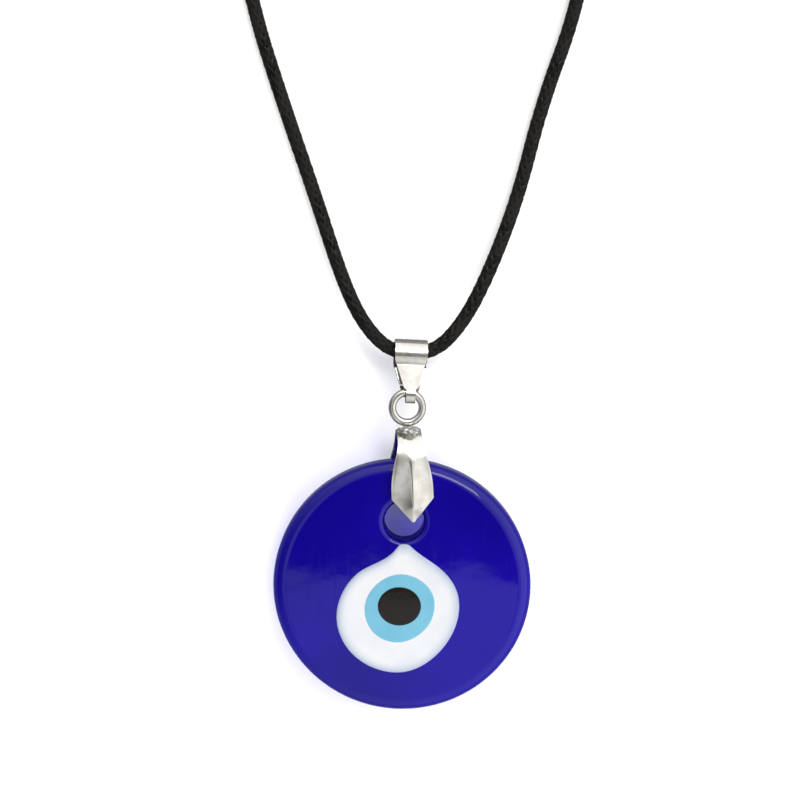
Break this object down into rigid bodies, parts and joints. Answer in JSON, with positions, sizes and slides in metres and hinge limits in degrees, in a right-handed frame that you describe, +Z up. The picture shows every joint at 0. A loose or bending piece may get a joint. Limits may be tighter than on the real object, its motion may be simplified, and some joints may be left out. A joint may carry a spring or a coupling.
{
  "type": "evil eye ornament",
  "caption": "Round cobalt glass evil eye disc on a faceted pinch bail and folded bail, worn on a black waxed cord with a lobster clasp.",
  "frame": {"origin": "on the table, under the middle of the box round the glass disc, pinch bail, ring and folded bail", "axes": "+Z up out of the table, +Y from the disc towards the neck cord, +X to the right as seen from above with the eye the right way up"},
  "size_m": [0.0434, 0.1307, 0.0083],
  "materials": {
    "cobalt_glass": "deep cobalt glass, fire polished",
    "white_glass": "opaque milk white glass",
    "light_blue_glass": "opaque light blue glass",
    "dark_glass": "black glass",
    "nickel_plate": "bright nickel plate on brass, lightly tarnished in the corners",
    "solder": "soft solder bead, satin",
    "waxed_cord": "black waxed braided cotton",
    "steel": "plain steel"
  },
  "bodies": {
    "neck": {"neck_cord": "waxed_cord", "cord_coil_left": "waxed_cord", "cord_coil_right": "waxed_cord", "cord_tail_left": "waxed_cord", "cord_tail_right": "waxed_cord", "cord_end_left": "nickel_plate", "cord_end_right": "nickel_plate"},
    "bail": {"folded_bail": "nickel_plate"},
    "hanger": {"pinch_bail": "nickel_plate", "pinch_bail_front_prong": "nickel_plate", "pinch_bail_back_prong": "nickel_plate", "ring_solder": "solder", "top_ring": "nickel_plate"},
    "disc": {"glass_disc": "cobalt_glass", "eye_white_glass": "white_glass", "eye_light_blue_glass": "light_blue_glass", "eye_pupil_glass": "dark_glass"},
    "clasp_link": {"clasp_ring": "nickel_plate"},
    "clasp": {"clasp_body": "nickel_plate", "clasp_pin": "steel", "clasp_spring": "steel"},
    "trigger": {"clasp_trigger": "nickel_plate"},
    "end_link": {"end_ring": "nickel_plate"}
  },
  "joints": [
    {"name": "bail_on_cord", "type": "hinge", "parent": "neck", "child": "bail", "pos_m": [0.00102, 0.01985, 0.00261], "axis": [0.9966, -0.0435, -0.0698], "range_deg": [-60, 60]},
    {"name": "ring_in_bail", "type": "hinge", "parent": "bail", "child": "hanger", "pos_m": [0.00099, 0.0152, 0.00507], "axis": [0.9963, 0.0397, -0.0757], "range_deg": [-50, 25]},
    {"name": "disc_on_prongs", "type": "hinge", "parent": "hanger", "child": "disc", "pos_m": [0.00102, 0.00191, 0.0041], "axis": [0, -0.075, 0.9972], "range_deg": [-35, 35]},
    {"name": "ring_in_cord_end", "type": "hinge", "parent": "neck", "child": "clasp_link", "pos_m": [0.006, 0.105, 0.00202], "axis": [0, 0, 1], "range_deg": [-25, 25]},
    {"name": "clasp_on_ring", "type": "hinge", "parent": "clasp_link", "child": "clasp", "pos_m": [0.0094, 0.105, 0.00202], "axis": [0, 0, 1], "range_deg": [-25, 25]},
    {"name": "trigger_pivot", "type": "hinge", "parent": "clasp", "child": "trigger", "pos_m": [0.01493, 0.1066, 0.00153], "axis": [0.0976, 0, 0.9952], "range_deg": [-22, 0], "stiffness_Nm_per_rad": 0.002, "springref_deg": 11.46},
    {"name": "end_ring_in_cord_end", "type": "hinge", "parent": "neck", "child": "end_link", "pos_m": [0.0018, 0.09305, 0.00202], "axis": [0, 0, 1], "range_deg": [-30, 30]}
  ]
}
